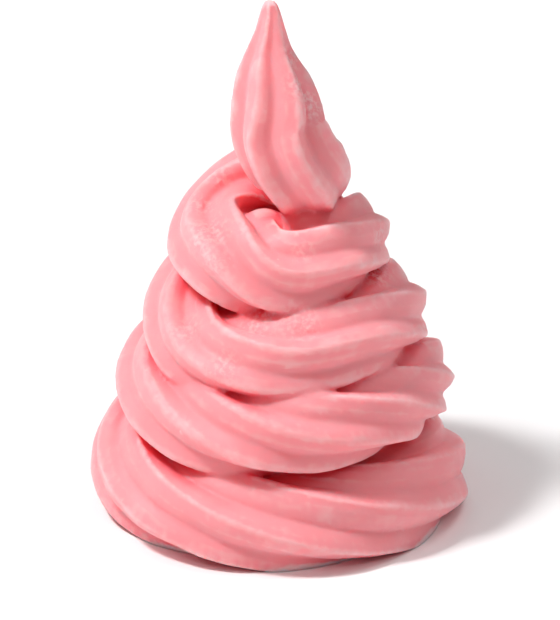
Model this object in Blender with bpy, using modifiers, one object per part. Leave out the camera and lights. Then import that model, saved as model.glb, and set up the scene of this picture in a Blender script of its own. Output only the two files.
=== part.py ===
"""Soft-serve swirl of frozen yogurt: one ribbed rope piped in a shrinking spiral,
then folded upward and pulled into a tall curved peak. Millimetres below, metres in the file."""
import math

import bmesh
import bpy
import numpy as np
from mathutils import Matrix

MM = 0.001
RIBS = 6                # lobes around the piped rope, one for each point of the star nozzle
RIB_DEPTH = 0.25        # how far the grooves cut in, as a share of the rope's radius
RIB_CRISPNESS = 0.94    # 0 gives wavy ribs, 1 gives straight-sided ones
RIB_LEAN = 0.3          # 0 gives even ribs, 1 lays each one right over to a side
ROPE_FLATNESS = 1.02    # height of the lying rope as a share of its width
ROPE_SHEAR = 0.17       # its lower half slumps outward
CLOCKWISE = -1          # direction of the laps, seen from above
STEPS_ROUND = 72        # corners around the rope
STEP_ALONG = 0.9        # distance between cross-sections
VOXEL = 0.9             # grain at which the laps fuse into one body
MAX_TRIANGLES = 9600

# The laps: turn, loop radius, height of the rope's centre, roll of the ribs in degrees,
# rope radius. Whole turns are at +X. The rope climbs mostly behind and sags in front on
# the left, so those stretches have a row every eighth of a turn.
LAPS = (
    (-1.75, 8.0, 8.6, -690, 10.5), (-1.5, 23.0, 8.8, -600, 11.4), (-1.25, 33.0, 9.2, -500, 11.9),
    (-1.0, 36.6, 10.0, -400, 12.0), (-0.75, 37.2, 11.0, -300, 12.1), (-0.5, 37.0, 14.0, -202, 12.1),
    (-0.25, 35.2, 25.8, -94, 11.2), (0.0, 33.9, 34.1, 56, 10.2), (0.125, 33.2, 34.6, 146, 10.2),
    (0.25, 32.4, 32.9, 202, 11.0), (0.375, 31.6, 32.0, 268, 11.3), (0.5, 30.9, 34.6, 308, 11.3),
    (0.75, 29.2, 43.5, 352, 11.4), (1.0, 26.8, 52.0, 443, 10.9), (1.125, 25.9, 52.2, 492, 10.4),
    (1.25, 25.2, 48.7, 512, 11.0), (1.375, 24.6, 47.4, 556, 11.2), (1.5, 23.9, 52.3, 608, 10.9),
    (1.75, 21.8, 63.3, 698, 10.8), (2.0, 17.8, 71.2, 804, 10.1), (2.125, 16.6, 70.5, 840, 10.2),
    (2.25, 16.0, 67.9, 862, 11.0), (2.375, 15.9, 69.7, 918, 11.7), (2.5, 16.7, 72.0, 950, 11.6),
    (2.625, 15.6, 77.2, 992, 11.6), (2.75, 12.6, 83.2, 1030, 11.8),
)
# The folded and pulled peak: X, Y, Z of the rope's centre, roll, rope radius.
PEAK = (
    (6.2, 5.4, 88.2, 1094, 10.4), (6.4, -0.6, 88.4, 1131, 10.8), (5.0, -5.6, 90.6, 1151, 12.2),
    (1.6, -6.6, 95.4, 1160, 12.3), (-0.6, -5.7, 100.2, 1168, 11.9), (-1.2, -4.9, 104.8, 1176, 11.4),
    (-1.9, -4.0, 109.6, 1182, 10.3), (-2.6, -3.3, 114.0, 1185, 8.7), (-2.9, -2.6, 118.9, 1187, 6.3),
    (-2.6, -2.0, 125.1, 1191, 3.8), (-2.6, -1.6, 129.4, 1196, 2.6), (-2.8, -1.5, 131.2, 1199, 1.9),
    (-2.9, -1.5, 132.1, 1201, 0.7),
)
# Filling inside the laps, as a stack of cones: radius and height of each joint.
CORE = ((33.0, 0.0), (34.0, 10.0), (29.0, 32.0), (22.0, 50.0), (14.0, 64.0), (11.0, 74.0))
# Balls that close the hollow under the fold: X, Y, Z of the centre, radius.
DABS = ((6.5, -6.5, 74.0, 8.2), (-4.0, -7.0, 72.2, 8.0))
FOLD_SMEAR = 0.8        # share of the ribs' depth that is smeared away where the rope folds
FOLD_REACH = 6.0        # half the length of that smeared stretch
STAND_UP = 11.0         # the rope turns from slumped to round this far before and after the fold
TABLE = 0.6             # the underside is sliced flat at this height


def smooth_through(at, values, wanted):
    """Cubic curve through values placed at unequal stations, read at the wanted places."""
    at, values = np.asarray(at, float), np.asarray(values, float)
    step = np.diff(at)[:, None]
    rise = np.diff(values, axis=0) / step
    slope = np.vstack([rise[:1], values[1:-1], rise[-1:]])
    share = step[1:] / (step[1:] + step[:-1])
    slope[1:-1] = rise[:-1] * share + rise[1:] * (1 - share)
    row = np.clip(np.searchsorted(at, wanted, side="right") - 1, 0, len(at) - 2)
    t = ((wanted - at[row]) / step[row, 0])[:, None]
    gap = step[row]
    return (values[row] * (2 * t**3 - 3 * t**2 + 1) + slope[row] * gap * (t**3 - 2 * t**2 + t)
            + values[row + 1] * (3 * t**2 - 2 * t**3) + slope[row + 1] * gap * (t**3 - t**2))


def rope_path():
    """Centres, rolls and radii along the rope, evenly spaced, and where the peak begins."""
    rows = np.array(LAPS)
    fine = np.arange(rows[0, 0], rows[-1, 0], 1 / 120)
    radius, height, roll, thickness = smooth_through(rows[:, 0], rows[:, 1:], fine).T
    angle = CLOCKWISE * 2 * math.pi * fine
    laps = np.column_stack([radius * np.cos(angle), radius * np.sin(angle), height, roll, thickness])
    keys = np.vstack([laps[-30::6], PEAK])
    reach = np.concatenate([[0], np.cumsum(np.linalg.norm(np.diff(keys[:, :3], axis=0), axis=1))])
    peak = smooth_through(reach, keys, np.arange(reach[4], reach[-1], 0.3))
    rows = np.vstack([laps[:-6], peak])
    run = np.concatenate([[0], np.cumsum(np.linalg.norm(np.diff(rows[:, :3], axis=0), axis=1))])
    even = np.linspace(0, run[-1], int(run[-1] / STEP_ALONG))
    rows = np.column_stack([np.interp(even, run, column) for column in rows.T])
    handover = int(np.argmin(np.linalg.norm(rows[:, :3] - np.array(PEAK[0][:3]), axis=1)))
    return rows, handover


def rope_sections():
    """The ribbed outline at every step: outward and upward axes follow the laps,
    and past the handover they are carried along the bend without extra twist."""
    rows, handover = rope_path()
    centre, roll, thickness = rows[:, :3], np.radians(rows[:, 3]), rows[:, 4]
    ahead = np.gradient(centre, axis=0)
    ahead /= np.linalg.norm(ahead, axis=1)[:, None]
    outward = np.zeros_like(ahead)
    for i, middle in enumerate(centre):
        guide = middle * (1, 1, 0) if i <= handover else outward[i - 1]
        guide = guide - guide.dot(ahead[i]) * ahead[i]
        outward[i] = guide / np.linalg.norm(guide)
    upward = np.cross(ahead, outward)
    around = np.linspace(0, 2 * math.pi, STEPS_ROUND, endpoint=False)
    turned = around[None, :] - roll[:, None]
    turned = turned + RIB_LEAN * (1 - np.cos(RIBS * turned)) / RIBS
    rib = 0.5 + 0.5 * np.arcsin(RIB_CRISPNESS * np.cos(RIBS * turned)) / math.asin(RIB_CRISPNESS)
    past_fold = (np.arange(len(rows)) - handover) * STEP_ALONG
    depth = RIB_DEPTH * (1 - FOLD_SMEAR * np.exp(-(past_fold / FOLD_REACH - 0.5) ** 2))
    spread = thickness[:, None] * (1 - depth[:, None] * (1 - rib))
    upright = np.clip((past_fold / STAND_UP + 1) / 2, 0, 1)[:, None]
    up = spread * np.sin(around) * (ROPE_FLATNESS + (1 - ROPE_FLATNESS) * upright)
    out = spread * np.cos(around) - ROPE_SHEAR * (1 - upright) * up
    return centre[:, None] + out[..., None] * outward[:, None] + up[..., None] * upward[:, None]


def skin(bm, rings):
    """Join successive rings of points with quads and close both ends."""
    loops = [[bm.verts.new(point * MM) for point in ring] for ring in rings]
    for low, high in zip(loops, loops[1:]):
        for i in range(len(low)):
            k = (i + 1) % len(low)
            bm.faces.new((low[i], low[k], high[k], high[i]))
    bm.faces.new(loops[0][::-1])
    bm.faces.new(loops[-1])


def stack_core(bm):
    for (wide, low), (narrow, high) in zip(CORE, CORE[1:]):
        middle = Matrix.Translation((0, 0, (low + high) / 2 * MM))
        bmesh.ops.create_cone(bm, cap_ends=True, segments=48, radius1=wide * MM,
                              radius2=narrow * MM, depth=(high - low) * MM, matrix=middle)
    for x, y, z, radius in DABS:
        bmesh.ops.create_uvsphere(bm, u_segments=24, v_segments=12, radius=radius * MM,
                                  matrix=Matrix.Translation((x * MM, y * MM, z * MM)))


def fused_swirl():
    """Rope and core grown together, thinned to the triangle budget."""
    bm = bmesh.new()
    skin(bm, rope_sections())
    stack_core(bm)
    mesh = bpy.data.meshes.new("rope")
    bm.to_mesh(mesh)
    bm.free()
    rope = bpy.data.objects.new("rope", mesh)
    bpy.context.scene.collection.objects.link(rope)
    grow = rope.modifiers.new("fuse the laps", "REMESH")
    grow.mode, grow.voxel_size, grow.adaptivity = "VOXEL", VOXEL * MM, 0.0
    relax = rope.modifiers.new("relax", "SMOOTH")
    relax.factor, relax.iterations = 0.4, 2
    bpy.context.view_layer.update()
    grown = rope.evaluated_get(bpy.context.evaluated_depsgraph_get())
    thin = rope.modifiers.new("thin out", "DECIMATE")
    thin.ratio = MAX_TRIANGLES / (2 * len(grown.data.polygons))
    thin.use_collapse_triangulate = True
    bpy.context.view_layer.update()
    done = rope.evaluated_get(bpy.context.evaluated_depsgraph_get())
    result = bpy.data.meshes.new_from_object(done)
    bpy.data.objects.remove(rope)
    return result


def fill_air_pockets(bm):
    """Drop every closed skin but the biggest, which fills the pockets shut in between laps."""
    unseen, skins = set(bm.verts), []
    while unseen:
        island, edge_of_island = set(), [unseen.pop()]
        while edge_of_island:
            vert = edge_of_island.pop()
            island.add(vert)
            near = {edge.other_vert(vert) for edge in vert.link_edges} & unseen
            unseen -= near
            edge_of_island.extend(near)
        skins.append(island)
    skins.sort(key=len)
    for island in skins[:-1]:
        bmesh.ops.delete(bm, geom=list(island), context="VERTS")


def settle_on_table(mesh):
    """Slice the underside flat, cap it, and put the middle of the outline at X = Y = 0."""
    bm = bmesh.new()
    bm.from_mesh(mesh)
    everything = bm.verts[:] + bm.edges[:] + bm.faces[:]
    bmesh.ops.bisect_plane(bm, geom=everything, plane_co=(0, 0, TABLE * MM), plane_no=(0, 0, 1),
                           clear_inner=True)
    bmesh.ops.remove_doubles(bm, verts=bm.verts[:], dist=0.05 * MM)
    rim = [edge for edge in bm.edges if edge.is_boundary]
    bmesh.ops.holes_fill(bm, edges=rim, sides=0)
    fill_air_pockets(bm)
    bmesh.ops.triangulate(bm, faces=[face for face in bm.faces if len(face.verts) > 3])
    bmesh.ops.recalc_face_normals(bm, faces=bm.faces[:])
    places = np.array([vert.co[:] for vert in bm.verts])
    low, high = places.min(0), places.max(0)
    bmesh.ops.translate(bm, verts=bm.verts[:],
                        vec=(-(low[0] + high[0]) / 2, -(low[1] + high[1]) / 2, -low[2]))
    for face in bm.faces:
        face.smooth = abs(face.normal.z) < 0.999
    bm.to_mesh(mesh)
    bm.free()


def yogurt_material():
    material = bpy.data.materials.new("strawberry yogurt")
    material.use_nodes = True
    shader = material.node_tree.nodes["Principled BSDF"]
    shader.inputs["Base Color"].default_value = (0.87, 0.40, 0.43, 1.0)
    shader.inputs["Roughness"].default_value = 0.5
    shader.inputs["Subsurface Weight"].default_value = 0.6
    shader.inputs["Subsurface Radius"].default_value = (1.0, 0.4, 0.35)
    shader.inputs["Subsurface Scale"].default_value = 3 * MM
    return material


for leftover in list(bpy.data.objects):
    bpy.data.objects.remove(leftover)
home = bpy.data.collections.new("frozen yogurt swirl")
bpy.context.scene.collection.children.link(home)
body = fused_swirl()
settle_on_table(body)
body.name = "frozen_yogurt_swirl"
body.materials.clear()
body.materials.append(yogurt_material())
swirl = bpy.data.objects.new("frozen_yogurt_swirl", body)
home.objects.link(swirl)
print(len(body.polygons), "triangles,", [round(side / MM, 1) for side in swirl.dimensions], "mm")
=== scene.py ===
# %% [markdown]
# # A swirl of strawberry frozen yogurt, pulled up to a peak
#
# A soft-serve machine pushes frozen yogurt through a star-shaped nozzle. What comes
# out is a soft rope with ribs along it. The hand lays the rope down in laps that
# shrink as they rise, folds the end over the middle, and lifts it away so that it
# pulls out into a thin curved peak.
#
# This lesson builds the swirl the same way: first the path of the nozzle, then the
# ribbed rope along it, then the melting together of the laps, the ice crumbs on the
# skin, and last the finish, the light and the camera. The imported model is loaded
# first, because it fixes the size and the place of everything that follows.

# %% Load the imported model
import math
import random

import bmesh
import bpy
import numpy as np
from mathutils import Matrix, Vector, noise


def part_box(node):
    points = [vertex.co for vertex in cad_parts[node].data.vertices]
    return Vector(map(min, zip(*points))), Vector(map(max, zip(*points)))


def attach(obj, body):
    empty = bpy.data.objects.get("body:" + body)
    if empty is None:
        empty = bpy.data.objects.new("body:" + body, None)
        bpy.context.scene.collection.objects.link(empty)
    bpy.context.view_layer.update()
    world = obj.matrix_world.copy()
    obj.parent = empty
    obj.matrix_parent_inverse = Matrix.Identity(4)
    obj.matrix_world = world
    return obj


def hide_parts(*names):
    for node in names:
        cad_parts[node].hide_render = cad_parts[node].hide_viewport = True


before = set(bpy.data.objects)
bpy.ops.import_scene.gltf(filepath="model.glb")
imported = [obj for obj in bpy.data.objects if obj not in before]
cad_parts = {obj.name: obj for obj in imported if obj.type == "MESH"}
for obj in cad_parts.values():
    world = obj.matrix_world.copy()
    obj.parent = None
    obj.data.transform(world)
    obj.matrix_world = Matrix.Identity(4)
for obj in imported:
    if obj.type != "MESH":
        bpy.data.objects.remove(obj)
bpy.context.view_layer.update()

MM = 0.001
NODE = "frozen_yogurt_swirl"
low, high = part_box(NODE)
print("the packed swirl measures", [round((b - a) / MM, 1) for a, b in zip(low, high)], "mm")

# %% [markdown]
# ## The path of the nozzle
#
# On the real thing the nozzle circles about four and a half times. It climbs mostly
# at the back and sags at the front left, where each lap leans on the one below, so
# the path is not an even spiral. One could draw it as a curve object, but the ribs
# have to roll at a chosen rate too, so each row here says where the nozzle is and
# how far the star has turned. The rows are the nozzle's own stations: turn, loop
# radius, height, roll of the ribs in degrees, and thickness of the rope. A smooth
# cubic curve through them gives everything in between.

# %% Stations of the nozzle, in millimetres and degrees
CLOCKWISE = -1
LAPS = (
    (-1.75, 8.0, 8.6, -690, 10.5), (-1.5, 23.0, 8.8, -600, 11.4), (-1.25, 33.0, 9.2, -500, 11.9),
    (-1.0, 36.6, 10.0, -400, 12.0), (-0.75, 37.2, 11.0, -300, 12.1), (-0.5, 37.0, 14.0, -202, 12.1),
    (-0.25, 35.2, 25.8, -94, 11.2), (0.0, 33.9, 34.1, 56, 10.2), (0.125, 33.2, 34.6, 146, 10.2),
    (0.25, 32.4, 32.9, 202, 11.0), (0.375, 31.6, 32.0, 268, 11.3), (0.5, 30.9, 34.6, 308, 11.3),
    (0.75, 29.2, 43.5, 352, 11.4), (1.0, 26.8, 52.0, 443, 10.9), (1.125, 25.9, 52.2, 492, 10.4),
    (1.25, 25.2, 48.7, 512, 11.0), (1.375, 24.6, 47.4, 556, 11.2), (1.5, 23.9, 52.3, 608, 10.9),
    (1.75, 21.8, 63.3, 698, 10.8), (2.0, 17.8, 71.2, 804, 10.1), (2.125, 16.6, 70.5, 840, 10.2),
    (2.25, 16.0, 67.9, 862, 11.0), (2.375, 15.9, 69.7, 918, 11.7), (2.5, 16.7, 72.0, 950, 11.6),
    (2.625, 15.6, 77.2, 992, 11.6), (2.75, 12.6, 83.2, 1030, 11.8),
)
PEAK = (
    (6.2, 5.4, 88.2, 1094, 10.4), (6.4, -0.6, 88.4, 1131, 10.8), (5.0, -5.6, 90.6, 1151, 12.2),
    (1.6, -6.6, 95.4, 1160, 12.3), (-0.6, -5.7, 100.2, 1168, 11.9), (-1.2, -4.9, 104.8, 1176, 11.4),
    (-1.9, -4.0, 109.6, 1182, 10.3), (-2.6, -3.3, 114.0, 1185, 8.7), (-2.9, -2.6, 118.9, 1187, 6.3),
    (-2.6, -2.0, 125.1, 1191, 3.8), (-2.6, -1.6, 129.4, 1196, 2.6), (-2.8, -1.5, 131.2, 1199, 1.9),
    (-2.9, -1.5, 132.1, 1201, 0.7),
)
print("the nozzle makes", LAPS[-1][0] - LAPS[0][0], "turns before the fold")

# %% [markdown]
# ## From stations to an even path
#
# A hand moves smoothly, so the stations are joined by cubic curves that share their
# slope at every station. Blender's own Bezier curves could do that too, but they would
# not carry the roll and the thickness along. The last stretch of the laps is read again
# with the stations of the peak, so that the curve runs over from one to the other
# without a corner. Steps of equal length come last, because the skin made from them
# should have faces of one size.

# %% Follow the stations in small even steps
STEP_ALONG = 0.45
FINE_TURN = 1 / 120
FINE_STEP = 0.3
LEAD_IN = 30
LEAD_IN_EVERY = 6


def smooth_through(at, values, wanted):
    """Cubic curve through values placed at unequal stations, read at the wanted places."""
    at, values = np.asarray(at, float), np.asarray(values, float)
    step = np.diff(at)[:, None]
    rise = np.diff(values, axis=0) / step
    slope = np.vstack([rise[:1], values[1:-1], rise[-1:]])
    share = step[1:] / (step[1:] + step[:-1])
    slope[1:-1] = rise[:-1] * share + rise[1:] * (1 - share)
    row = np.clip(np.searchsorted(at, wanted, side="right") - 1, 0, len(at) - 2)
    t = ((wanted - at[row]) / step[row, 0])[:, None]
    gap = step[row]
    return (values[row] * (2 * t**3 - 3 * t**2 + 1) + slope[row] * gap * (t**3 - 2 * t**2 + t)
            + values[row + 1] * (3 * t**2 - 2 * t**3) + slope[row + 1] * gap * (t**3 - t**2))


def distance_along(points):
    return np.concatenate([[0], np.cumsum(np.linalg.norm(np.diff(points, axis=0), axis=1))])


def nozzle_path():
    """Centre, roll and thickness of the rope at even steps, and the step where the fold begins."""
    stations = np.array(LAPS)
    fine = np.arange(stations[0, 0], stations[-1, 0], FINE_TURN)
    radius, height, roll, thickness = smooth_through(stations[:, 0], stations[:, 1:], fine).T
    angle = CLOCKWISE * 2 * math.pi * fine
    laps = np.column_stack([radius * np.cos(angle), radius * np.sin(angle), height, roll, thickness])
    keys = np.vstack([laps[-LEAD_IN::LEAD_IN_EVERY], PEAK])
    reach = distance_along(keys[:, :3])
    last_lap_key = LEAD_IN // LEAD_IN_EVERY - 1
    peak = smooth_through(reach, keys, np.arange(reach[last_lap_key], reach[-1], FINE_STEP))
    rows = np.vstack([laps[:-LEAD_IN_EVERY], peak])
    run = distance_along(rows[:, :3])
    even = np.linspace(0, run[-1], int(run[-1] / STEP_ALONG))
    rows = np.column_stack([np.interp(even, run, column) for column in rows.T])
    fold = int(np.argmin(np.linalg.norm(rows[:, :3] - np.array(PEAK[0][:3]), axis=1)))
    return rows, fold


path, fold = nozzle_path()
print("the rope is", round(len(path) * STEP_ALONG / 10), "cm long, and folds after", fold, "steps")

# %% [markdown]
# ## The ribbed rope
#
# The nozzle has six teeth, so the rope has six ribs with valleys between them. The
# sides of a rib are nearly flat and meet in a crisp edge, because cold yogurt holds
# the shape that the teeth cut. A plain cosine would give soft waves. Passing the
# cosine through an arcsine straightens the sides and keeps the edge, and a small
# lean makes each rib fall to one side the way a dragged rib does. The rope slumps a
# little under its own weight, and past the fold it stands up round again. Where it is
# folded, the turn smears its ribs nearly flat.

# %% Outline of the rope at every step
RIBS = 6
RIB_DEPTH = 0.25
RIB_CRISPNESS = 0.98
RIB_LEAN = 0.3
ROPE_FLATNESS = 1.02
ROPE_SHEAR = 0.17
FOLD_SMEAR = 0.8
FOLD_REACH = 6.0
STAND_UP = 11.0
STEPS_ROUND = 132
STREAK_DEPTH = 0.004
STREAKS = ((23, 0.4), (37, 1.9), (53, 4.4))


def rib_outline(around, roll, depth):
    """Distance from the rope's centre, as a share of its thickness."""
    turned = around[None, :] - roll[:, None]
    streak = sum(np.sin(count * turned + start) for count, start in STREAKS)
    turned = turned + RIB_LEAN * (1 - np.cos(RIBS * turned)) / RIBS
    rib = 0.5 + 0.5 * np.arcsin(RIB_CRISPNESS * np.cos(RIBS * turned)) / math.asin(RIB_CRISPNESS)
    return 1 - depth[:, None] * (1 - rib) + STREAK_DEPTH * streak


def rope_rings():
    """A closed ring of points at every step; the frame stops twisting past the fold."""
    centre, roll, thickness = path[:, :3], np.radians(path[:, 3]), path[:, 4]
    ahead = np.gradient(centre, axis=0)
    ahead /= np.linalg.norm(ahead, axis=1)[:, None]
    outward = np.zeros_like(ahead)
    for i, middle in enumerate(centre):
        guide = middle * (1, 1, 0) if i <= fold else outward[i - 1]
        guide = guide - guide.dot(ahead[i]) * ahead[i]
        outward[i] = guide / np.linalg.norm(guide)
    upward = np.cross(ahead, outward)
    around = np.linspace(0, 2 * math.pi, STEPS_ROUND, endpoint=False)
    past_fold = (np.arange(len(path)) - fold) * STEP_ALONG
    depth = RIB_DEPTH * (1 - FOLD_SMEAR * np.exp(-(past_fold / FOLD_REACH - 0.5) ** 2))
    spread = thickness[:, None] * rib_outline(around, roll, depth)
    upright = np.clip((past_fold / STAND_UP + 1) / 2, 0, 1)[:, None]
    up = spread * np.sin(around) * (ROPE_FLATNESS + (1 - ROPE_FLATNESS) * upright)
    out = spread * np.cos(around) - ROPE_SHEAR * (1 - upright) * up
    return centre[:, None] + out[..., None] * outward[:, None] + up[..., None] * upward[:, None]


rings = rope_rings()
print("the rope's skin has", rings.shape[0], "rings of", rings.shape[1], "points")

# %% [markdown]
# ## One body out of many laps
#
# Real laps sink into each other and close most of the gaps behind them. In Blender the
# rope could be joined to itself with a Boolean, but a skin that crosses itself is hard
# for it. A voxel remesh reads only what is inside and what is outside, so it fuses
# the laps and the filling in the middle into one skin. The filling is a stack of cones,
# with two balls on top that raise the floor of the hollow under the fold. A light
# smoothing takes off the steps of the voxels.

# %% Skin the rope and fill the middle
CORE = ((33.0, 0.0), (34.0, 10.0), (29.0, 32.0), (22.0, 50.0), (14.0, 64.0), (11.0, 74.0))
DABS = ((6.5, -6.5, 74.0, 8.2), (-4.0, -7.0, 72.2, 8.0))
GRAIN = 0.5


def skin(bm, rings):
    """Join successive rings of points with quads and close both ends."""
    loops = [[bm.verts.new(point * MM) for point in ring] for ring in rings]
    for before, after in zip(loops, loops[1:]):
        for i in range(len(before)):
            k = (i + 1) % len(before)
            bm.faces.new((before[i], before[k], after[k], after[i]))
    bm.faces.new(loops[0][::-1])
    bm.faces.new(loops[-1])


def stack_core(bm):
    for (wide, under), (narrow, over) in zip(CORE, CORE[1:]):
        middle = Matrix.Translation((0, 0, (under + over) / 2 * MM))
        bmesh.ops.create_cone(bm, cap_ends=True, segments=64, radius1=wide * MM,
                              radius2=narrow * MM, depth=(over - under) * MM, matrix=middle)
    for x, y, z, radius in DABS:
        bmesh.ops.create_uvsphere(bm, u_segments=32, v_segments=16, radius=radius * MM,
                                  matrix=Matrix.Translation((x * MM, y * MM, z * MM)))


def evaluated_mesh(thing):
    bpy.context.view_layer.update()
    ready = thing.evaluated_get(bpy.context.evaluated_depsgraph_get())
    return bpy.data.meshes.new_from_object(ready)


bm = bmesh.new()
skin(bm, rings)
stack_core(bm)
swirl = bpy.data.objects.new("yogurt_swirl", bpy.data.meshes.new("rope"))
bpy.context.scene.collection.objects.link(swirl)
bm.to_mesh(swirl.data)
bm.free()
fuse = swirl.modifiers.new("fuse the laps", "REMESH")
fuse.mode, fuse.voxel_size, fuse.adaptivity = "VOXEL", GRAIN * MM, 0.0
relax = swirl.modifiers.new("relax", "SMOOTH")
relax.factor, relax.iterations = 0.5, 1
fused = evaluated_mesh(swirl)
swirl.modifiers.clear()
swirl.data = fused
print("the fused swirl has", len(fused.polygons), "faces")

# %% [markdown]
# ## Stand it on the table
#
# The bottom lap spreads flat where it meets the table. The underside is cut level
# and closed, and air pockets that the laps shut in completely are filled. A thin gap
# behind the laps that still has a way out stays, as it does in real soft serve. Last,
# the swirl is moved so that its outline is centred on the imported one.

# %% Cut the underside flat and centre the swirl
TABLE = 0.6
WELD = 0.02


def fill_air_pockets(bm):
    """Drop every closed skin but the biggest."""
    unseen, skins = set(bm.verts), []
    while unseen:
        island, waiting = set(), [unseen.pop()]
        while waiting:
            vert = waiting.pop()
            island.add(vert)
            near = {edge.other_vert(vert) for edge in vert.link_edges} & unseen
            unseen -= near
            waiting.extend(near)
        skins.append(island)
    skins.sort(key=len)
    for island in skins[:-1]:
        bmesh.ops.delete(bm, geom=list(island), context="VERTS")


bm = bmesh.new()
bm.from_mesh(swirl.data)
bmesh.ops.bisect_plane(bm, geom=bm.verts[:] + bm.edges[:] + bm.faces[:],
                       plane_co=(0, 0, TABLE * MM), plane_no=(0, 0, 1), clear_inner=True)
bmesh.ops.remove_doubles(bm, verts=bm.verts[:], dist=WELD * MM)
bmesh.ops.holes_fill(bm, edges=[edge for edge in bm.edges if edge.is_boundary], sides=0)
fill_air_pockets(bm)
bmesh.ops.triangulate(bm, faces=[face for face in bm.faces if len(face.verts) > 4])
places = np.array([vert.co[:] for vert in bm.verts])
middle = (places.min(0) + places.max(0)) / 2
shift = Vector(((low[0] + high[0]) / 2 - middle[0], (low[1] + high[1]) / 2 - middle[1],
                low[2] - places[:, 2].min()))
bmesh.ops.translate(bm, verts=bm.verts[:], vec=shift)
bm.to_mesh(swirl.data)
bm.free()
print("moved by", [round(part / MM, 2) for part in shift], "mm to sit on the packed model")

# %% [markdown]
# ## Patches where the skin tore
#
# Frozen yogurt that is a little too cold tears as it leaves the nozzle, and grains of
# ice stand out of the skin in patches. They sit on the outer faces of the ribs and near
# the tip, where the rope was stretched. A patch is a ball around a place on the skin,
# fading outward. Those on the side that shows best are listed one by one, and the rest
# are strewn by a seeded random choice, so the back is as uneven as the front.

# %% Choose the torn patches: X, Y, Z, reach in millimetres, and strength
PLACED = (
    (3.0, -3.0, 118.0, 4.5, 0.8), (5.0, -8.0, 112.0, 5.0, 0.8), (8.0, -6.5, 107.0, 5.5, 1.0),
    (-17.0, -12.0, 76.0, 8.0, 0.5), (-15.0, -19.0, 71.0, 6.0, 0.4), (-7.0, -16.0, 78.0, 4.0, 0.3),
    (6.0, -19.0, 74.0, 4.0, 0.5), (-5.0, -23.0, 57.0, 7.0, 0.5), (5.0, -25.0, 57.5, 7.0, 0.5),
    (-22.0, -18.0, 53.0, 6.0, 0.4), (-13.0, -29.0, 48.0, 6.0, 0.5), (-14.0, 5.0, 85.0, 4.0, 0.6),
    (-19.0, -2.0, 81.0, 5.0, 0.5),
)
STREWN = 16
FRONT_ENDS = -5
FOOT_ENDS = 8
dice = random.Random(11)
patches = list(PLACED)
while len(patches) < len(PLACED) + STREWN:
    spot = dice.choice(swirl.data.vertices).co / MM
    if spot.y > FRONT_ENDS and spot.z > FOOT_ENDS:
        patches.append((*spot, dice.uniform(4, 8), dice.uniform(0.4, 0.9)))
print("the skin is torn in", len(patches), "patches")


# %% Measure how torn the skin is at each place
FADE = 1.4


def torn(places):
    """How torn the skin is at each place, 0 to 1."""
    most = np.zeros(len(places))
    for x, y, z, reach, strength in patches:
        away = np.linalg.norm(places / MM - (x, y, z), axis=1) / reach
        most = np.maximum(most, strength * np.clip(FADE * (1 - away), 0, 1))
    return most


def read_points(mesh, what):
    flat = np.empty(3 * len(mesh.vertices))
    mesh.vertices.foreach_get(what, flat)
    return flat.reshape(-1, 3)


def places_of(mesh):
    return read_points(mesh, "co")


def normals_of(mesh):
    return read_points(mesh, "normal")


places = places_of(swirl.data)
torn_here = torn(places)
print("torn skin:", round(100 * float((torn_here > 0.1).mean())), "percent")

# %% [markdown]
# ## Ice crumbs and uneven ribs
#
# The crumbs are real relief and not only a trick of the light, so they show on the
# outline of the peak as well. Each point of the skin moves along its own normal. In
# the torn patches a rough noise is cut off at a threshold, which leaves single crumbs
# with smooth skin between them. A slow noise and a finer, weaker one run over the whole
# swirl, because no hand lays a rope of exactly even thickness. The relief fades out
# near the table, so that the foot stays flat.

# %% Raise the crumbs and make the ribs uneven
CRUMB = 1.1
CRUMB_HEIGHT = 0.30
CRUMB_FINER = 2.1
CRUMB_FINER_SHARE = 0.5
CRUMB_FROM = 0.05
CRUMB_STEEPNESS = 2.2
DEEPEST_PIT = -0.25
SLOW_WAVE = 9.0
SLOW_HEIGHT = 0.28
BUMPS = 2.4
BUMP_HEIGHT = 0.045
CALM_FOOT = 2.0

normals = normals_of(swirl.data)
raised = np.zeros(len(places))
for i, (place, tear) in enumerate(zip(places / MM, torn_here)):
    spot = Vector(place)
    raised[i] = SLOW_HEIGHT * noise.noise(spot / SLOW_WAVE) + BUMP_HEIGHT * noise.noise(spot / BUMPS)
    if tear > 0:
        grain = noise.noise(spot / CRUMB)
        grain += CRUMB_FINER_SHARE * noise.noise(spot / CRUMB * CRUMB_FINER)
        crumb = min(max(CRUMB_STEEPNESS * (grain - CRUMB_FROM), DEEPEST_PIT), 1)
        raised[i] += CRUMB_HEIGHT * tear * crumb
above_table = np.clip((places[:, 2] - low[2]) / (CALM_FOOT * MM), 0, 1)
places += normals * (raised * above_table * MM)[:, None]
swirl.data.vertices.foreach_set("co", places.ravel())
swirl.data.update()
print("relief from", round(raised.min(), 2), "to", round(raised.max(), 2), "mm")

# %% [markdown]
# ## Thin out the mesh
#
# The voxel skin has more faces than the shape needs on the flat rib sides. The Decimate
# modifier merges those and keeps small faces at the crisp edges and the crumbs.

# %% Thin out
MOST_TRIANGLES = 194000
corners = sum(len(face.vertices) - 2 for face in swirl.data.polygons)
thin = swirl.modifiers.new("thin out", "DECIMATE")
thin.ratio = min(1.0, MOST_TRIANGLES / corners)
thin.use_collapse_triangulate = True
thinned = evaluated_mesh(swirl)
swirl.modifiers.clear()
swirl.data = thinned
for face in thinned.polygons:
    face.use_smooth = True
print("thinned from", corners, "to", len(thinned.polygons), "triangles")
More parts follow.
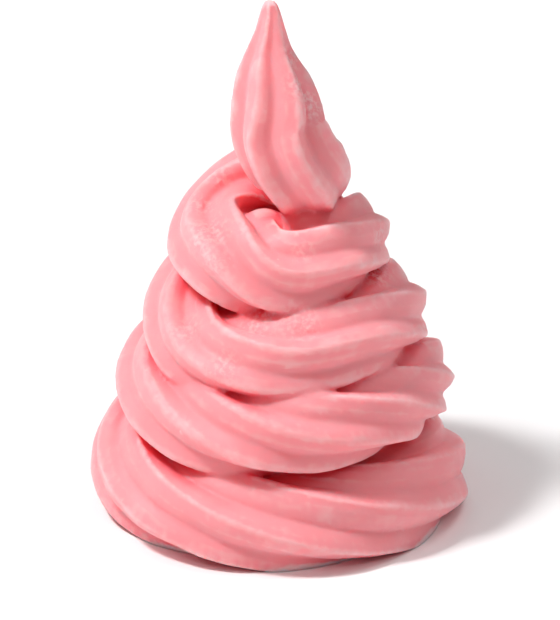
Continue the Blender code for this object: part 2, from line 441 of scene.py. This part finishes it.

# %% [markdown]
# ## Mark the rib edges for a painted highlight, and the torn skin
#
# The edges of the ribs get a painted highlight: the material colours them paler than the
# valley beside them. To find the edges, the skin is compared with a blurred copy of
# itself: where the real skin stands outside the blurred one, there is an edge. Both marks
# are kept on the points of the mesh as attributes, which a material can read.

# %% Mark edges and tears on the points of the mesh
BLUR_ROUNDS = 7
EDGE_STANDS_OUT = 0.32
places = places_of(thinned)
edges = np.empty(2 * len(thinned.edges), int)
thinned.edges.foreach_get("vertices", edges)
edges = edges.reshape(-1, 2)
neighbours = np.bincount(edges.ravel(), minlength=len(places))[:, None]
blurred = places.copy()
for _ in range(BLUR_ROUNDS):
    total = blurred.copy()
    np.add.at(total, edges[:, 0], blurred[edges[:, 1]])
    np.add.at(total, edges[:, 1], blurred[edges[:, 0]])
    blurred = total / (neighbours + 1)
proud = ((places - blurred) * normals_of(thinned)).sum(1) / MM
# The rib edge mark drives a painted highlight: the material colours the edges paler.
marks = {"rib_edge_highlight": np.clip(proud / EDGE_STANDS_OUT, 0, 1), "torn": torn(places)}
for name, amount in marks.items():
    thinned.attributes.new(name, "FLOAT", "POINT").data.foreach_set("value", amount)
    print(name, "is marked on", round(100 * float((amount > 0.3).mean())), "percent of the points")

# %% [markdown]
# ## The finish: light inside the yogurt
#
# Frozen yogurt is milk, fruit and fine ice. Light goes into it and comes out again a
# few millimetres away, redder than it went in, which is why the valleys glow a deep
# pink and the edges look soft. Subsurface scattering does this in the shader. The skin
# has a satin sheen from melted water, so it is neither matt like icing sugar nor wet
# like syrup.

# %% Satin shader with light inside
yogurt = bpy.data.materials.new("strawberry yogurt")
yogurt.use_nodes = True
nodes, links = yogurt.node_tree.nodes, yogurt.node_tree.links
shader = nodes["Principled BSDF"]
shader.inputs["Subsurface Weight"].default_value = 1.0
shader.inputs["Subsurface Radius"].default_value = (1.0, 0.06, 0.055)
shader.inputs["Subsurface Scale"].default_value = 4.5 * MM
shader.inputs["Specular IOR Level"].default_value = 0.3


def blend(factor, first, second):
    """A colour that goes from first to second with the factor; each is a colour or a socket."""
    mix = nodes.new("ShaderNodeMix")
    mix.data_type = "RGBA"
    links.new(factor, mix.inputs["Factor"])
    for socket, colour in ((mix.inputs["A"], first), (mix.inputs["B"], second)):
        if isinstance(colour, tuple):
            socket.default_value = (*colour, 1)
        else:
            links.new(colour, socket)
    return mix.outputs["Result"]


def stretch(value, low_end, high_end, start=0.0, stop=1.0):
    """Map a value from its own ends to start and stop, and hold it there outside them."""
    ramp = nodes.new("ShaderNodeMapRange")
    ramp.inputs["From Min"].default_value = low_end
    ramp.inputs["From Max"].default_value = high_end
    ramp.inputs["To Min"].default_value = start
    ramp.inputs["To Max"].default_value = stop
    links.new(value, ramp.inputs["Value"])
    return ramp.outputs["Result"]


print("the light spreads", round(shader.inputs["Subsurface Scale"].default_value / MM, 1), "mm")

# %% [markdown]
# ## The finish: painted shade in the valleys, painted highlights on the edges, mottled skin
#
# Four things set the colour. In a valley the light bounces from one pink wall to the
# other, and this is painted in as shade: where the Ambient Occlusion node finds a place
# closed in, the colour turns a darker, deeper pink. The edges of the ribs get a painted
# highlight, a paler colour, and the crumbs of ice are paler too. Over all of it lies a
# faint mottle, because the fruit is never mixed in quite evenly.

# %% Colour of the skin, with painted shade and a painted highlight
# The valley colour is painted shade. The frosted colour serves the real ice crumbs and mottle, and
# the painted highlight on the rib edges.
VALLEY_PAINTED_SHADE = (0.86, 0.07, 0.11)
OPEN = (0.94, 0.34, 0.37)
FROST_AND_HIGHLIGHT = (0.97, 0.56, 0.58)
SHADE_MASK_REACH = 6
MOTTLE_SIZE = 7
FROST_SIZE = 1.2
# Painted shade: the Ambient Occlusion node picks out valleys and creases, and there the colour is
# mixed toward the darker valley pink.
crease_shade_mask = nodes.new("ShaderNodeAmbientOcclusion")
crease_shade_mask.samples = 8
crease_shade_mask.inputs["Distance"].default_value = SHADE_MASK_REACH * MM
skin_colour = blend(stretch(crease_shade_mask.outputs["AO"], 0.1, 0.95), VALLEY_PAINTED_SHADE, OPEN)


def cloud(size, detail, coordinates):
    """Noise whose lumps are about size millimetres across."""
    texture = nodes.new("ShaderNodeTexNoise")
    texture.inputs["Scale"].default_value = 1 / (size * MM)
    texture.inputs["Detail"].default_value = detail
    links.new(coordinates, texture.inputs["Vector"])
    return texture.outputs["Fac"]


def mark(name):
    reader = nodes.new("ShaderNodeAttribute")
    reader.attribute_name = name
    return reader.outputs["Fac"]


on_object = nodes.new("ShaderNodeTexCoord").outputs["Object"]
mottle = stretch(cloud(MOTTLE_SIZE, 3, on_object), 0.4, 0.75, 0.0, 0.08)
skin_colour = blend(mottle, skin_colour, FROST_AND_HIGHLIGHT)
# Painted highlight: the rib edges are mixed toward the pale frosted colour.
skin_colour = blend(stretch(mark("rib_edge_highlight"), 0.35, 1.0, 0.0, 0.95), skin_colour, FROST_AND_HIGHLIGHT)
crumbs = nodes.new("ShaderNodeMath")
crumbs.operation = "MULTIPLY"
links.new(mark("torn"), crumbs.inputs[0])
links.new(stretch(cloud(FROST_SIZE, 2, on_object), 0.45, 0.65), crumbs.inputs[1])
skin_colour = blend(crumbs.outputs["Value"], skin_colour, FROST_AND_HIGHLIGHT)
links.new(skin_colour, shader.inputs["Base Color"])
print("the colour is made from", len(nodes) - 2, "nodes")

# %% [markdown]
# ## The finish: fine grain
#
# Between the crumbs the skin has a grain of ice finer than any mesh could hold, about
# half a millimetre. A Bump node tilts the light there. Its height is given as a real
# length, so it stays right at any size of picture, and the grain is stronger in the
# torn patches. The sheen changes a little from place to place with the melted water.

# %% Grain and sheen
GRAIN_SIZE = 0.5
GRAIN_HEIGHT = 0.12
SHEEN_SIZE = 4
grain = nodes.new("ShaderNodeMath")
grain.operation = "MULTIPLY"
links.new(cloud(GRAIN_SIZE, 3, on_object), grain.inputs[0])
links.new(stretch(mark("torn"), 0.0, 0.8, 0.35, 1.6), grain.inputs[1])
bump = nodes.new("ShaderNodeBump")
bump.inputs["Strength"].default_value = 0.5
bump.inputs["Distance"].default_value = GRAIN_HEIGHT * MM
links.new(grain.outputs["Value"], bump.inputs["Height"])
links.new(bump.outputs["Normal"], shader.inputs["Normal"])
links.new(stretch(cloud(SHEEN_SIZE, 2, on_object), 0.35, 0.7, 0.42, 0.58), shader.inputs["Roughness"])
swirl.data.materials.clear()
swirl.data.materials.append(yogurt)
print("the grain stands", GRAIN_HEIGHT, "mm high")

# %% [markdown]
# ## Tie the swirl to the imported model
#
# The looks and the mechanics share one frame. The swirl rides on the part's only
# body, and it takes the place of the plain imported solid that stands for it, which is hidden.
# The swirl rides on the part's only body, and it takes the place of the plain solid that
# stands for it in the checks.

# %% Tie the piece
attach(swirl, "root")
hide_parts(NODE)
print(swirl.name, "stands in for", NODE)

# %% [markdown]
# ## The table
#
# A plain white sheet, as on a studio bench. It is far wider than the
# swirl, so that its edge never shows and its light comes back up under the laps.

# %% Table
TABLE_WIDTH = 3.0
bpy.ops.mesh.primitive_plane_add(size=TABLE_WIDTH, location=(0, 0, low[2]))
table = bpy.context.object
table.name = "table"
paint = bpy.data.materials.new("white table")
paint.use_nodes = True
coat = paint.node_tree.nodes["Principled BSDF"]
coat.inputs["Base Color"].default_value = (0.9, 0.9, 0.9, 1)
coat.inputs["Roughness"].default_value = 0.6
table.data.materials.append(paint)
print("the table is", round(table.dimensions.x, 1), "m wide")

# %% [markdown]
# ## The light
#
# One soft lamp high on the left models the ribs, and a weaker one on the right opens the
# shadows without taking them away. Eight more hang in a wide ring around the swirl and
# point straight down, each narrowed by its spread, so they wash the table until it is as
# white as the room and hardly touch the swirl. The room itself gives a little even light.

# %% Light
ROOM_LIGHT = 0.16
WASH_LAMPS = 8
WASH_FROM = 1.0
WASH_HEIGHT = 0.8
WASH_SIZE = 0.6
WASH_POWER = 4.0
WASH_SPREAD = 100
room = bpy.data.worlds.new("white room")
bpy.context.scene.world = room
room.use_nodes = True
walls = room.node_tree.nodes["Background"]
walls.inputs["Color"].default_value = (1, 1, 1, 1)
walls.inputs["Strength"].default_value = ROOM_LIGHT


def lamp(name, place, size, power, aim, spread=180):
    light = bpy.data.lights.new(name, "AREA")
    light.size, light.energy, light.spread = size, power, math.radians(spread)
    holder = bpy.data.objects.new(name, light)
    bpy.context.scene.collection.objects.link(holder)
    holder.location = place
    holder.rotation_euler = (aim - Vector(place)).to_track_quat("-Z", "Y").to_euler()
    print(name, "gives", power, "W")


heart = Vector((0, 0, (low[2] + high[2]) / 2))
lamp("key", (-0.32, -0.10, 0.60), 0.10, 3.9, heart)
lamp("opener", (0.26, 0.0, 0.62), 0.20, 0.8, heart)
for side in range(WASH_LAMPS):
    turn = Matrix.Rotation(side * 2 * math.pi / WASH_LAMPS, 3, "Z")
    foot = turn @ Vector((0, WASH_FROM, low[2]))
    above = foot + Vector((0, 0, WASH_HEIGHT))
    lamp(f"table wash {side + 1}", above, WASH_SIZE, WASH_POWER, foot, spread=WASH_SPREAD)

# %% [markdown]
# ## The camera
#
# It looks down on the swirl a little, from well back across the table,
# so the laps keep their true proportions. The lens is worked out from the width of
# the view at the swirl.

# %% Camera
DISTANCE = 0.7
VIEW_WIDTH = 0.155
ELEVATION = math.radians(21.4)
MID_HEIGHT = 62
DROP = 10
below = Vector((0, -math.sin(ELEVATION), -math.cos(ELEVATION)))
aim = (Vector((-0.25, 0, MID_HEIGHT)) + DROP * below) * MM + shift
back = Vector((0, -math.cos(ELEVATION), math.sin(ELEVATION)))
eye = bpy.data.cameras.new("camera")
camera = bpy.data.objects.new("camera", eye)
bpy.context.scene.collection.objects.link(camera)
camera.location = aim + DISTANCE * back
camera.rotation_euler = (-back).to_track_quat("-Z", "Y").to_euler()
eye.lens = eye.sensor_width * DISTANCE / VIEW_WIDTH
eye.clip_start = 0.01
bpy.context.scene.camera = camera
bpy.context.scene.view_settings.view_transform = "Standard"
print("the lens is", round(eye.lens), "mm")
